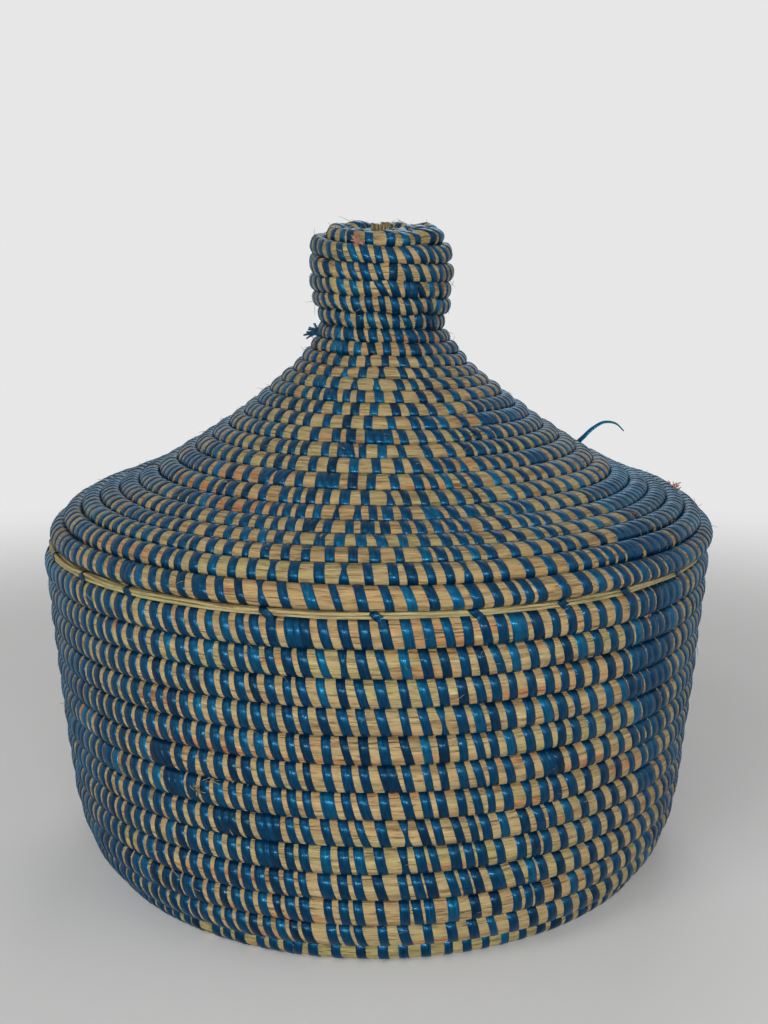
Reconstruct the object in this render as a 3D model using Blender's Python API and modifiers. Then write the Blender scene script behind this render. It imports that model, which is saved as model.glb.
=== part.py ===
"""Lidded coiled basket: a rope of straw wound into a pot, and another wound into a lid with a knob.

Metres, +Z up. The origin is on the basket's axis, on the plane that the basket stands on.
Each rope runs as one spiral from the middle outward, and is split into named lengths: base, wall,
rim, knob top, knob, cone and edge. The lengths meet end to end.
"""

import math

import bmesh
import bpy
import numpy as np
from mathutils.bvhtree import BVHTree

# Basket: outer sizes
WIDEST_RADIUS = 0.1520
FOOT_RADIUS = 0.1312
BODY_HEIGHT = 0.1470

# Lid: outer sizes, with heights above the plane that its edge rests on
LID_INSET = 0.0012
LID_RADIUS = WIDEST_RADIUS - LID_INSET
KNOB_RADIUS = 0.0330
NECK_RADIUS = 0.0280
NECK_HEIGHT = 0.0950
KNOB_HEIGHT = 0.0440
KNOB_DISH_DEPTH = 0.0030

# Rows of rope, counted from the middle of each spiral outward
BASE_TURNS = 11
WALL_TURNS = 11
KNOB_TOP_TURNS = 3
KNOB_TURNS = 8
CONE_TURNS = 15

# Row numbers and widths down the lid, scaled so that the rows just fill the outline
LID_ROW_WIDTHS = (
    (0, 0.0068),
    (4, 0.0080),
    (9, 0.0063),
    (12, 0.0069),
    (19, 0.0098),
    (21, 0.0098),
    (24, 0.0087),
    (26, 0.0087),
)

# Clearances
ROW_GAP = 0.0009
SEAT_GAP = 0.0003
LID_PLAY = 0.0018

# Knots at the two starts
BASE_KNOT_RADIUS = 0.0030
KNOB_KNOT_RADIUS = 0.0018
KNOT_ROUNDING = 0.0006

# Flat band of loose straws, sewn along the top of the rim
BAND_THICKNESS = 0.0026
BAND_WIDTH = 0.0068
BAND_ROUNDING = 0.0007

# Ring sewn under the lid, which keeps it centred in the mouth
RING_ROW_WIDTH = 0.0092
RING_TURNS = 2

# Places on the outlines, as shares of a span in radius and in height
WALL_SHARES = ((0.27, 0.070), (0.47, 0.150), (0.58, 0.235), (0.69, 0.400), (0.84, 0.660))
CONE_SHARES = (
    (0.022, 0.925),
    (0.092, 0.800),
    (0.173, 0.702),
    (0.272, 0.587),
    (0.384, 0.472),
    (0.512, 0.355),
    (0.652, 0.242),
    (0.808, 0.158),
    (0.880, 0.129),
    (0.950, 0.085),
)
KNOB_SIDE_SHARES = ((0.97, 0.76), (1.00, 0.64), (0.86, 0.40), (0.70, 0.22), (0.36, 0.10))
KNOB_DISH_SHARE = 0.45
CUT_DEPTH_SHARE = 0.1
TAIL_END_SHARE = 0.25

# The turn: rows run level and climb to the next row at the back
CLIMB_START_SHARE = 0.75
SEAM_ANGLE = math.radians(135)
STATIONS = 24
COARSE_RADIUS_SHARE = 0.45
ROPE_SIDES = 6
CAP_CORNERS = 2 * ROPE_SIDES
HALF_SIDE_ANGLE = math.pi / ROPE_SIDES

# Fineness of the outlines, of the tables of rows and of the fit of the rows to an outline
PROFILE_SAMPLES = 4000
ROUNDING_SAMPLES = 21
TABLE_STEPS = 48
FIT_STEPS = 24
LEAST_SCALE = 0.5
MOST_SCALE = 1.5
WELD_DISTANCE = 0.000003
MILLIMETRES = 1000

STRAW = (0.40, 0.27, 0.10)
PALE_STRAW = (0.50, 0.38, 0.17)
STRIPPED_STRAW = (0.20, 0.19, 0.15)
STRAW_ROUGHNESS = 0.7
KNOT_ROUGHNESS = 0.8


def clear_scene():
    for thing in list(bpy.data.objects):
        bpy.data.objects.remove(thing, do_unlink=True)


def collection_named(name):
    collection = bpy.data.collections.new(name)
    bpy.context.scene.collection.children.link(collection)
    return collection


def material_named(name, colour, roughness):
    material = bpy.data.materials.new(name)
    material.use_nodes = True
    shader = material.node_tree.nodes["Principled BSDF"]
    shader.inputs["Base Color"].default_value = (*colour, 1)
    shader.inputs["Roughness"].default_value = roughness
    shader.inputs["Metallic"].default_value = 0
    return material


# A profile is the line of rope centres in one half of a section: radius and height by length.
def profile_through(corners, rounding):
    corners = np.array(corners)
    runs = np.concatenate([[0], np.cumsum(np.linalg.norm(np.diff(corners, axis=0), axis=1))])
    along = np.linspace(0, runs[-1], PROFILE_SAMPLES)
    reach = np.minimum(rounding / 2, np.minimum(along, runs[-1] - along))
    spread = along[:, None] + reach[:, None] * np.linspace(-1, 1, ROUNDING_SAMPLES)
    radius = np.interp(spread, runs, corners[:, 0]).mean(1)
    height = np.interp(spread, runs, corners[:, 1]).mean(1)
    steps = np.hypot(np.diff(radius), np.diff(height))
    length = np.concatenate([[0], np.cumsum(steps)])
    slope = np.arctan2(np.gradient(height), np.gradient(radius))
    return {"length": length, "radius": radius, "height": height, "slope": np.unwrap(slope)}


def read_profile(profile, key, length):
    return np.interp(length, profile["length"], profile[key])


def corner_radius(width):
    """Distance from a rope's centre to the corners of its six-sided section."""
    return (width - ROW_GAP) / 2 / math.cos(HALF_SIDE_ANGLE)


def section_reach(radius, slope, direction):
    """How far a rope's section reaches from its centre, with two of its flats across the slope."""
    off = np.mod(direction - slope, 2 * HALF_SIDE_ANGLE)
    return radius * np.cos(off - HALF_SIDE_ANGLE)


def next_row(profile, start, width, next_width):
    """Length at which the next row lies clear of the row at start."""
    here = np.array([read_profile(profile, "radius", start), read_profile(profile, "height", start)])
    slope = read_profile(profile, "slope", start)
    ahead = (profile["length"] > start) & (profile["length"] < start + 2 * (width + next_width))
    if not ahead.any():
        return start + (width + next_width) / 2
    across = profile["radius"][ahead] - here[0]
    up = profile["height"][ahead] - here[1]
    direction = np.arctan2(up, across)
    needed = ROW_GAP + section_reach(corner_radius(width), slope, direction)
    needed = needed + section_reach(corner_radius(next_width), profile["slope"][ahead], direction + math.pi)
    spare = np.hypot(across, up) - needed
    if spare[-1] < 0:
        return start + (width + next_width) / 2
    first = int(np.argmax(spare >= 0))
    lengths = profile["length"][ahead]
    if first == 0:
        return lengths[0]
    return np.interp(0, spare[first - 1 : first + 1], lengths[first - 1 : first + 1])


def row_table(profile, start, widths, turns):
    """Lengths along the profile for each share of each turn, at TABLE_STEPS a turn."""
    numbers = np.arange(0, turns * TABLE_STEPS + 1) / TABLE_STEPS
    lengths = np.zeros(len(numbers))
    for step, number in enumerate(numbers):
        width = row_width(widths, number)
        if step <= TABLE_STEPS:
            lengths[step] = start + number * (row_width(widths, 0) + row_width(widths, 1)) / 2
            continue
        before = step - TABLE_STEPS
        lengths[step] = next_row(profile, lengths[before], row_width(widths, number - 1), width)
    return numbers, lengths


def row_width(widths, number):
    return float(np.interp(number, np.arange(len(widths)), widths))


def carried_on(corners, distance):
    """The corners and one more, straight on from the last, so that a thin tail has room to lie."""
    (radius, height), (last_radius, last_height) = corners[-2:]
    run = math.hypot(last_radius - radius, last_height - height)
    beyond_radius = last_radius + (last_radius - radius) * distance / run
    beyond_height = last_height + (last_height - height) * distance / run
    return [*corners, (beyond_radius, beyond_height)]


def wind(corners_for, shares, knot_radius):
    """Scales the row widths until the last row ends at the end of the outline."""
    last = len(shares) - 1
    low, high = LEAST_SCALE, MOST_SCALE
    for _ in range(FIT_STEPS):
        scale = (low + high) / 2
        widths = np.array(shares) * scale
        profile = profile_through(carried_on(corners_for(widths), widths[-1]), widths.max())
        end = profile["length"][-1] - widths[-1]
        start = knot_radius + SEAT_GAP + (widths[0] - ROW_GAP) / 2
        length = start
        for number in range(last):
            if number == 0:
                length += (widths[0] + widths[1]) / 2
            else:
                length = next_row(profile, length, widths[number], widths[number + 1])
        if length > end:
            high = scale
        else:
            low = scale
    numbers, lengths = row_table(profile, start, widths, last)
    return {"profile": profile, "widths": widths, "numbers": numbers, "lengths": lengths}


def climb(share):
    """Share of the climb to the next row that is done at this share of a turn."""
    run = min(max((share - CLIMB_START_SHARE) / (1 - CLIMB_START_SHARE), 0), 1)
    return run * run * (3 - 2 * run)


def settle(turn, even_turns, level_turn):
    """0 where the rope spirals evenly, 1 where it runs level and climbs only at the back."""
    return min(max((turn - even_turns) / (level_turn - even_turns), 0), 1)


def row_number(turn, share, even_turns, level_turn):
    level = settle(turn, even_turns, level_turn)
    return turn + (1 - level) * share + level * climb(share)


def squeeze(turn, share, even_turns, level_turn):
    """The rope thins a little where the rows crowd on their way from even to level."""
    if turn < even_turns or turn > level_turn:
        return 1
    return 1 - max(share - climb(share), 0) / (level_turn - even_turns)


def at_last_row(winding, key):
    return read_profile(winding["profile"], key, winding["lengths"][-1])


def station_at(winding, number, share, squeezed):
    profile = winding["profile"]
    length = np.interp(number, winding["numbers"], winding["lengths"])
    return place_station(
        read_profile(profile, "radius", length),
        read_profile(profile, "height", length),
        read_profile(profile, "slope", length),
        share,
        corner_radius(row_width(winding["widths"], number)) * squeezed,
    )


def place_station(radius, height, slope, share, thickness):
    angle = SEAM_ANGLE + 2 * math.pi * share
    centre = np.array([radius * math.cos(angle), radius * math.sin(angle), height])
    return {"centre": centre, "radius": thickness, "tilt": math.pi / 2 - slope}


def blend(first, second, share):
    return {key: first[key] * (1 - share) + second[key] * share for key in first}


def moved_along(station, toward, distance):
    way = toward["centre"] - station["centre"]
    return {**station, "centre": station["centre"] + way / np.linalg.norm(way) * distance}


def turn_stations(winding, turn, bends):
    """Stations of one turn. A tight turn has half as many as a wide one."""
    start = np.interp(turn, winding["numbers"], winding["lengths"])
    tight = read_profile(winding["profile"], "radius", start) < WIDEST_RADIUS * COARSE_RADIUS_SHARE
    stations = []
    for index in range(0, STATIONS, 2 if tight else 1):
        share = (index + 0.5) / STATIONS
        number = row_number(turn, share, *bends)
        stations.append(station_at(winding, number, share, squeeze(turn, share, *bends)))
    return stations


def rope_length(winding, first_turn, turns, bends, starts_free=False):
    """Stations of some turns, with each end half way to the next station so that lengths meet."""
    stations = []
    for turn in range(first_turn, first_turn + turns):
        stations += turn_stations(winding, turn, bends)
    after = turn_stations(winding, first_turn + turns, bends)[0]
    if not starts_free:
        before = turn_stations(winding, first_turn - 1, bends)[-1]
        start = blend(before, stations[0], meeting_share(before, stations[0]))
        stations.insert(0, moved_along(start, stations[0], SEAT_GAP / 2))
    end = blend(stations[-1], after, meeting_share(stations[-1], after))
    stations.append(moved_along(end, stations[-1], SEAT_GAP / 2))
    return stations


def meeting_share(before, after):
    """Share of the way between two stations at which the seam lies."""
    turned = []
    for station in (before, after):
        angle = math.atan2(station["centre"][1], station["centre"][0]) - SEAM_ANGLE
        turned.append(abs(math.remainder(angle, 2 * math.pi)))
    return turned[0] / (turned[0] + turned[1])


def last_row(winding, turn, bends):
    """The last row, level all round, whose tail thins over the climb of the row beneath it."""
    profile = winding["profile"]
    width = winding["widths"][turn]
    stations = []
    for index in range(STATIONS):
        share = (index + 0.5) / STATIONS
        left = 1 - climb(share)
        if left < TAIL_END_SHARE:
            break
        beneath = np.interp(row_number(turn - 1, share, *bends), winding["numbers"], winding["lengths"])
        tail_width = width * left
        length = next_row(profile, beneath, width, tail_width) if left < 1 else winding["lengths"][-1]
        stations.append(
            place_station(
                read_profile(profile, "radius", length),
                read_profile(profile, "height", length),
                at_last_row(winding, "slope"),
                share,
                corner_radius(tail_width),
            )
        )
    before = turn_stations(winding, turn - 1, bends)[-1]
    start = blend(before, stations[0], meeting_share(before, stations[0]))
    stations.insert(0, moved_along(start, stations[0], SEAT_GAP / 2))
    return stations


def rope_object(name, stations, material, collection):
    thickest = max(station["radius"] for station in stations)
    curve = bpy.data.curves.new(name, "CURVE")
    curve.dimensions = "3D"
    curve.twist_mode = "Z_UP"
    curve.bevel_depth = thickest
    curve.bevel_resolution = 1
    curve.use_fill_caps = True
    spline = curve.splines.new("POLY")
    spline.points.add(len(stations) - 1)
    for point, station in zip(spline.points, stations):
        point.co = (*station["centre"], 1)
        point.radius = station["radius"] / thickest
        point.tilt = station["tilt"]
    curve.materials.append(material)
    rope = bpy.data.objects.new(name, curve)
    collection.objects.link(rope)
    return rope


def mesh_from_rope(rope):
    """The rope as a mesh with welded end caps, ready to be cut."""
    bpy.context.view_layer.update()
    evaluated = rope.evaluated_get(bpy.context.evaluated_depsgraph_get())
    mesh = bpy.data.meshes.new_from_object(evaluated)
    shape = bmesh.new()
    shape.from_mesh(mesh)
    bmesh.ops.remove_doubles(shape, verts=shape.verts, dist=WELD_DISTANCE)
    shape.to_mesh(mesh)
    shape.free()
    name, place, collection = rope.name, rope.matrix_world.copy(), rope.users_collection[0]
    bpy.data.objects.remove(rope, do_unlink=True)
    piece = bpy.data.objects.new(name, mesh)
    piece.name = name
    piece.matrix_world = place
    collection.objects.link(piece)
    return piece


def least_gap_to_itself(rope, turn_rings):
    """Least distance from a corner of the rope to a face of another turn of it."""
    bpy.context.view_layer.update()
    evaluated = rope.evaluated_get(bpy.context.evaluated_depsgraph_get())
    mesh = evaluated.to_mesh()
    corners = [vertex.co.copy() for vertex in mesh.vertices]
    sides = [tuple(face.vertices) for face in mesh.polygons if min(face.vertices) >= CAP_CORNERS]
    tree = BVHTree.FromPolygons(corners, sides)
    least = math.inf
    for number in range(CAP_CORNERS, len(corners)):
        for _, _, side, distance in tree.find_nearest_range(corners[number], RING_ROW_WIDTH / 2):
            apart = abs(sides[side][0] - number) / ROPE_SIDES
            if apart > turn_rings:
                least = min(least, distance)
    evaluated.to_mesh_clear()
    return least


def turned_ring(name, inner, outer, bottom, top, rounding, material, collection):
    """A closed ring turned from a rectangle with rounded edges."""
    mesh = bpy.data.meshes.new(name)
    shape = bmesh.new()
    corners = [(outer, top), (outer, bottom), (inner, bottom), (inner, top)]
    points = [shape.verts.new((radius, 0, height)) for radius, height in corners]
    for first, second in zip(points, points[1:] + points[:1]):
        shape.edges.new((first, second))
    shape.to_mesh(mesh)
    shape.free()
    ring = bpy.data.objects.new(name, mesh)
    collection.objects.link(ring)
    turn = ring.modifiers.new("Turn", "SCREW")
    turn.steps = 2 * STATIONS
    turn.render_steps = 2 * STATIONS
    turn.use_merge_vertices = True
    turn.merge_threshold = WELD_DISTANCE
    edges = ring.modifiers.new("Edges", "BEVEL")
    edges.width = rounding
    edges.segments = 1
    edges.limit_method = "ANGLE"
    mesh.materials.append(material)
    return ring


def knot_object(name, radius, bottom, top, material, collection):
    mesh = bpy.data.meshes.new(name)
    shape = bmesh.new()
    bmesh.ops.create_cone(
        shape, cap_ends=True, segments=STATIONS // 2, radius1=radius, radius2=radius, depth=top - bottom
    )
    shape.to_mesh(mesh)
    shape.free()
    mesh.materials.append(material)
    mesh.shade_smooth()
    mesh.set_sharp_from_angle(angle=HALF_SIDE_ANGLE)
    knot = bpy.data.objects.new(name, mesh)
    knot.location.z = (top + bottom) / 2
    collection.objects.link(knot)
    edges = knot.modifiers.new("Edges", "BEVEL")
    edges.width = KNOT_ROUNDING
    edges.segments = 2
    edges.limit_method = "ANGLE"
    return knot


def cut_flat_at_table(piece, cutters):
    """Cuts off what lies under the plane that the basket stands on."""
    width = 3 * WIDEST_RADIUS
    depth = WIDEST_RADIUS / 4
    mesh = bpy.data.meshes.new("table_cut")
    shape = bmesh.new()
    bmesh.ops.create_cube(shape, size=1)
    bmesh.ops.scale(shape, verts=shape.verts, vec=(width, width, depth))
    shape.to_mesh(mesh)
    shape.free()
    cutter = bpy.data.objects.new("table_cut", mesh)
    cutter.location.z = -depth / 2
    cutter.hide_render = True
    cutter.display_type = "WIRE"
    cutters.objects.link(cutter)
    cut = piece.modifiers.new("Rest face", "BOOLEAN")
    cut.operation = "DIFFERENCE"
    cut.object = cutter


# Outlines of the rope centres
def body_corners(widths):
    corner = corner_radius(widths[-1])
    base_height = corner * (1 - 2 * CUT_DEPTH_SHARE)
    foot = FOOT_RADIUS - corner
    mouth = WIDEST_RADIUS - corner
    top = BODY_HEIGHT - (widths[-1] - ROW_GAP) / 2
    corners = [(0, base_height), (foot, base_height)]
    for across, up in WALL_SHARES:
        corners.append((foot + (mouth - foot) * across, base_height + (top - base_height) * up))
    corners.append((mouth, top))
    return corners


def lid_corners(widths):
    knob_corner = corner_radius(widths[KNOB_TOP_TURNS])
    edge_corner = corner_radius(widths[-1])
    knob = KNOB_RADIUS - knob_corner
    neck = NECK_RADIUS - knob_corner
    edge = LID_RADIUS - edge_corner
    across, up = CONE_SHARES[-1]
    edge_slope = math.atan2(-NECK_HEIGHT * up, (edge - neck) * (1 - across))
    seat = section_reach(edge_corner, edge_slope, -math.pi / 2)
    crest = NECK_HEIGHT + KNOB_HEIGHT - knob_corner
    corners = [(0, crest - KNOB_DISH_DEPTH), (knob * KNOB_DISH_SHARE, crest - KNOB_DISH_DEPTH)]
    corners.append((knob - knob_corner, crest))
    for across, up in KNOB_SIDE_SHARES:
        corners.append((neck + (knob - neck) * across, NECK_HEIGHT + (crest - NECK_HEIGHT) * up))
    corners.append((neck, NECK_HEIGHT))
    for across, up in CONE_SHARES:
        corners.append((neck + (edge - neck) * across, seat + (NECK_HEIGHT - seat) * up))
    corners.append((edge, seat))
    return corners


def raised(corners, height):
    return [(radius, up + height) for radius, up in corners]


def lid_row_widths():
    rows, widths = zip(*LID_ROW_WIDTHS)
    return np.interp(np.arange(KNOB_TOP_TURNS + KNOB_TURNS + CONE_TURNS + 1), rows, widths)


def wind_body():
    rows = BASE_TURNS + WALL_TURNS + 1
    even_width = (BODY_HEIGHT + FOOT_RADIUS) / rows
    return wind(body_corners, [even_width] * rows, BASE_KNOT_RADIUS)


def wind_lid(seat):
    return wind(lambda widths: raised(lid_corners(widths), seat), lid_row_widths(), KNOB_KNOT_RADIUS)


def height_under(station, radius, thickness):
    """Greatest height at which a level rope of this radius lies clear under a station's section."""
    across = math.hypot(station["centre"][0], station["centre"][1]) - radius
    drop = np.linspace(0, 2 * (station["radius"] + thickness), PROFILE_SAMPLES)
    direction = np.arctan2(drop, across)
    needed = SEAT_GAP + section_reach(thickness, math.pi / 2, direction)
    slope = math.pi / 2 - station["tilt"]
    needed = needed + section_reach(station["radius"], slope, direction + math.pi)
    clear = np.hypot(across, drop) >= needed
    if clear.all():
        return math.inf
    return station["centre"][2] - drop[len(clear) - int(np.argmin(clear[::-1]))]


def locating_ring_stations(cone, body):
    """Two rows under the cone, as high as the cone's rope allows."""
    thickness = corner_radius(RING_ROW_WIDTH)
    mouth = WIDEST_RADIUS - 2 * corner_radius(body["widths"][-1])
    radius = mouth - LID_PLAY - thickness
    height = math.inf
    for station in cone:
        turned = math.atan2(station["centre"][1], station["centre"][0]) - SEAM_ANGLE
        share = turned / (2 * math.pi) % 1
        height = min(height, height_under(station, radius, thickness) + RING_ROW_WIDTH * climb(share))
    stations = []
    for index in range(RING_TURNS * STATIONS - round(STATIONS * (1 - CLIMB_START_SHARE))):
        share = (index + 0.5) / STATIONS
        level = int(share) + climb(share - int(share))
        stations.append(place_station(radius, height - RING_ROW_WIDTH * level, math.pi / 2, share, thickness))
    return stations


def report_gap(rope):
    least = least_gap_to_itself(rope, STATIONS // 3)
    if least < math.inf:
        print(f"{rope.name}: least gap to itself {least * MILLIMETRES:.2f} mm")


def main():
    clear_scene()
    parts = collection_named("lidded_basket")
    cutters = collection_named("cutters")
    straw = material_named("bound_straw", STRAW, STRAW_ROUGHNESS)
    pale = material_named("pale_straw", PALE_STRAW, STRAW_ROUGHNESS)
    knots = material_named("knotted_straw", STRIPPED_STRAW, KNOT_ROUGHNESS)

    body = wind_body()
    body_bends = (0, BASE_TURNS - 1)
    ropes = {
        "base_coil": rope_length(body, 0, BASE_TURNS, body_bends, starts_free=True),
        "wall_coil": rope_length(body, BASE_TURNS, WALL_TURNS, body_bends),
        "rim_coil": last_row(body, BASE_TURNS + WALL_TURNS, body_bends),
    }

    rim_corner = corner_radius(body["widths"][-1])
    rim_reach = section_reach(rim_corner, at_last_row(body, "slope"), math.pi / 2)
    rim_top = at_last_row(body, "height") + rim_reach
    band_bottom = rim_top + SEAT_GAP
    band_top = band_bottom + BAND_THICKNESS
    seat = band_top + SEAT_GAP

    lid = wind_lid(seat)
    knob_turns = KNOB_TOP_TURNS + KNOB_TURNS
    lid_bends = (knob_turns - 1, knob_turns + CONE_TURNS - 1)
    ropes["knob_top_coil"] = rope_length(lid, 0, KNOB_TOP_TURNS, lid_bends, starts_free=True)
    ropes["knob_coil"] = rope_length(lid, KNOB_TOP_TURNS, KNOB_TURNS, lid_bends)
    ropes["lid_cone_coil"] = rope_length(lid, knob_turns, CONE_TURNS, lid_bends)
    ropes["lid_edge_coil"] = last_row(lid, knob_turns + CONE_TURNS, lid_bends)
    ropes["lid_locating_coil"] = locating_ring_stations(ropes["lid_cone_coil"], body)

    for name, stations in ropes.items():
        rope = rope_object(name, stations, straw, parts)
        report_gap(rope)
        if name == "base_coil":
            cut_flat_at_table(mesh_from_rope(rope), cutters)

    band_middle = at_last_row(body, "radius")
    turned_ring(
        "rim_straw_band",
        band_middle - BAND_WIDTH / 2,
        band_middle + BAND_WIDTH / 2,
        band_bottom,
        band_top,
        BAND_ROUNDING,
        pale,
        parts,
    )
    base_rope = corner_radius(body["widths"][0])
    knot_object("base_start_knot", BASE_KNOT_RADIUS, 0, base_rope, knots, parts)
    knob_rope = corner_radius(lid["widths"][0])
    knob_centre = lid["profile"]["height"][0]
    knot_object(
        "knob_start_knot", KNOB_KNOT_RADIUS, knob_centre - knob_rope, knob_centre + knob_rope, knots, parts
    )


main()
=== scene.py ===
"""Looks of a lidded coiled basket: straw ropes bound with blue plastic strip, in metres, +Z up."""

import math
from collections import namedtuple

import bpy
import numpy as np
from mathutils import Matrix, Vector
from numpy.random import default_rng


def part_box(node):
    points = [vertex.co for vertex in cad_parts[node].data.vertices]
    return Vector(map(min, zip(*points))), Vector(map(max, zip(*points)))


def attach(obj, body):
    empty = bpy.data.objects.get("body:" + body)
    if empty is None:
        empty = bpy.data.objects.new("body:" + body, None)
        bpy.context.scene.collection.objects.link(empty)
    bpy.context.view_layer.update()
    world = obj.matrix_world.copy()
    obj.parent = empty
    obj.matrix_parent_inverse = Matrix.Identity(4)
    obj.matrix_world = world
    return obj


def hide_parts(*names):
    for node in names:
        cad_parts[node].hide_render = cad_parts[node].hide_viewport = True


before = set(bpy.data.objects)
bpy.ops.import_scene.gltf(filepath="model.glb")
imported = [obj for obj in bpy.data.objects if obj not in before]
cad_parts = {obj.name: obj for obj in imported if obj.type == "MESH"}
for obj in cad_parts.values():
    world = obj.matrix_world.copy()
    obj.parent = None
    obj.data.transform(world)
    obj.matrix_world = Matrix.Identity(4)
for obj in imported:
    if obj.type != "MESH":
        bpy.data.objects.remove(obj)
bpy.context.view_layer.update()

# Outer sizes of the solids
WIDEST_RADIUS = 0.1520
FOOT_RADIUS = 0.1312
BODY_HEIGHT = 0.1470
LID_INSET = 0.0012
LID_RADIUS = WIDEST_RADIUS - LID_INSET
KNOB_RADIUS = 0.0330
NECK_RADIUS = 0.0280
NECK_HEIGHT = 0.0950
KNOB_HEIGHT = 0.0440
KNOB_DISH_DEPTH = 0.0030
BASE_TURNS = 11
WALL_TURNS = 11
BODY_ROWS = BASE_TURNS + WALL_TURNS
KNOB_TOP_TURNS = 3
KNOB_TURNS = 8
KNOB_ROWS = KNOB_TOP_TURNS + KNOB_TURNS
CONE_TURNS = 15
LID_ROWS = KNOB_ROWS + CONE_TURNS
LID_ROW_WIDTHS = (
    (0, 0.0068), (4, 0.0080), (9, 0.0063), (12, 0.0069),
    (19, 0.0098), (21, 0.0098), (24, 0.0087), (26, 0.0087),
)
ROW_GAP = 0.0009
SEAT_GAP = 0.0003
LID_PLAY = 0.0018
BASE_KNOT_RADIUS = 0.0030
KNOB_KNOT_RADIUS = 0.0018
BAND_THICKNESS = 0.0026
RING_ROW_WIDTH = 0.0092
RING_TURNS = 2
WALL_SHARES = ((0.27, 0.070), (0.47, 0.150), (0.58, 0.235), (0.69, 0.400), (0.84, 0.660))
CONE_SHARES = (
    (0.022, 0.925), (0.092, 0.800), (0.173, 0.702), (0.272, 0.587), (0.384, 0.472),
    (0.512, 0.355), (0.652, 0.242), (0.808, 0.158), (0.880, 0.129), (0.950, 0.085),
)
KNOB_SIDE_SHARES = ((0.97, 0.76), (1.00, 0.64), (0.86, 0.40), (0.70, 0.22), (0.36, 0.10))
KNOB_DISH_SHARE = 0.45
CUT_DEPTH_SHARE = 0.1
CLIMB_START_SHARE = 0.75
SEAM_ANGLE = math.radians(135)
HALF_SIDE_ANGLE = math.pi / 6
PROFILE_SAMPLES = 4000
ROUNDING_SAMPLES = 21
TABLE_STEPS = 48
SCALE_LIMITS = (0.5, 1.5)
SCALE_HALVINGS = 24

# Section of a rope and of the strip round it
ROPE_SIDES = 20
STRIP_SIDES = 18
SECTION_POWER = 2.35
SIDE_FILL = 1.05
TRACE_STEPS = 360
STRIP_THICKNESS = 0.00040
STRIP_CROWN = 0.00010
STRIP_SINK = 0.00012
STRIP_SHOULDER_SHARE = 0.44
WRAP_PINCH = 0.00010
STRAW_BULGE = 0.00014
BULGE_SHARES = ((0.32, 1.0), (0.50, 1.3), (0.68, 1.0))
BULGE_LIMITS = (0.1, 1.5)
# Waves: how many, and from which to which pace a turn
ROPE_WAVES = (6, (4, 60))
BAND_WAVES = (5, (2, 30))
ROPE_WOBBLE = 0.00022
KNOB_ROUGHER = 1.6
TAIL_END_SHARE = 0.14
TABLE_LEVEL = 0.0002
END_SCALE = 0.02
PATTERN_STEP = 0.0137
PATTERN_LENGTH = 7
TUBE_HELPER = (0.31, 0.22, 0.93)
# A free strip's section: shares of its width and of its thickness
FLAT_SECTION = ((-0.5, 0), (-0.35, 0.5), (0.35, 0.5), (0.5, 0), (0.35, -0.5), (-0.35, -0.5))

# Dark sheet along the seams between rows, for the strip that crosses them and painted shade in the seams, and
# what fills the middle of a spiral
SEAM_SHEET_THICKNESS = 0.0012
STITCH_AND_SHADE_TONE = 0.1
SEAM_SHEET_STEPS = 4
SEAM_SHEET_PATTERN = 0.005
START_TAIL_TURNS = 0.95
START_TIP_SHARE = 0.16
KNOT_FILL = 1.15
KNOT_STRAND_SHARE = 0.42
KNOT_STEPS = 96
KNOT_CORE_STEPS = 8

# Wraps of the strip: pitch, width and stray
BODY_PITCH = 0.0074
WALL_PITCH_LESS = 0.0009
BODY_STRIP = 0.0040
LID_PITCH = 0.0065
CONE_PITCH_MORE = 0.0007
LID_STRIP = 0.0039
SIDE_STRIP_MORE = 0.0010
BODY_STRAY = 0.045
LID_STRAY = 0.15
FIRST_WRAP_SHARE = 0.2
LAST_WRAP_SHARE = 0.3
PITCH_SHARES = (0.90, 1.10)
# Where the lid's long diagonals start and end, as angles from the front, and how softly
SLANT_START = 0.06
SLANT_START_SOFTNESS = 0.035
SLANT_END = 2.2
SLANT_END_SOFTNESS = 0.15
# Least and most room to the wrap before, as shares of the pitch
LEAST_ROOM = 0.64
MOST_ROOM = 1.42
RING_HABITS = {"pitch": 0.0085, "strip": 0.0034, "shift": 0.3, "hold": 0.4, "lean": -0.15, "stray": 0.045}

# Wraps that differ: chances, widths and offsets as shares of the width, leans as slopes
WIDTH_STRAY = 0.09
WIDTH_LIMITS = (0.75, 1.3)
LIFT_STRAY = 0.00004
WIDE_CHANCE = 0.02
WIDE_SHARE = 1.5
CROSSING_CHANCE = 0.014
CROSSING_LEAN = 0.28
PINCH_CHANCE = 0.07
PINCH_SHARES = (0.3, 0.65)
PINCH_REACH = 0.30
FORK_CHANCE = 0.018
FORK_OFFSET = 0.6
FORK_LEAN = 0.24
FORK_WIDTH = 0.9
FORK_LIFT = 0.00008
BESIDE_CHANCE = 0.014
BESIDE_OFFSET = 0.85

# Camera, from the photograph
PICTURE_HEIGHT = 1024
FOCAL_PIXELS = 1305.0
CAMERA_DISTANCE = 0.5999
CAMERA_HEIGHT = 0.2786
CAMERA_SIDE = 0.0033
CAMERA_PITCH = 0.2004
SENSOR = 36.0

FRONT = -math.pi / 2

# Room, and lamps: name, place, width, height, power
LAMP_TARGET = (0, 0, 0.13)
LAMPS = (
    ("front", (-0.15, -1.50, 0.36), 1.60, 0.035, 24),
    ("key", (-1.10, -1.40, 1.60), 0.90, 0.90, 9),
    ("fill", (1.60, -0.90, 0.90), 1.20, 1.20, 5),
    ("back", (0.30, 1.90, 1.50), 1.20, 1.20, 11),
)
WORLD_LIGHT = 0.24
BACKGROUND = (0.80, 0.80, 0.80)
FLOOR_COLOUR = (0.78, 0.78, 0.775)
FLOOR_REACH = 20
FADE_START = 0.40
FADE_END = 0.90

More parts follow.
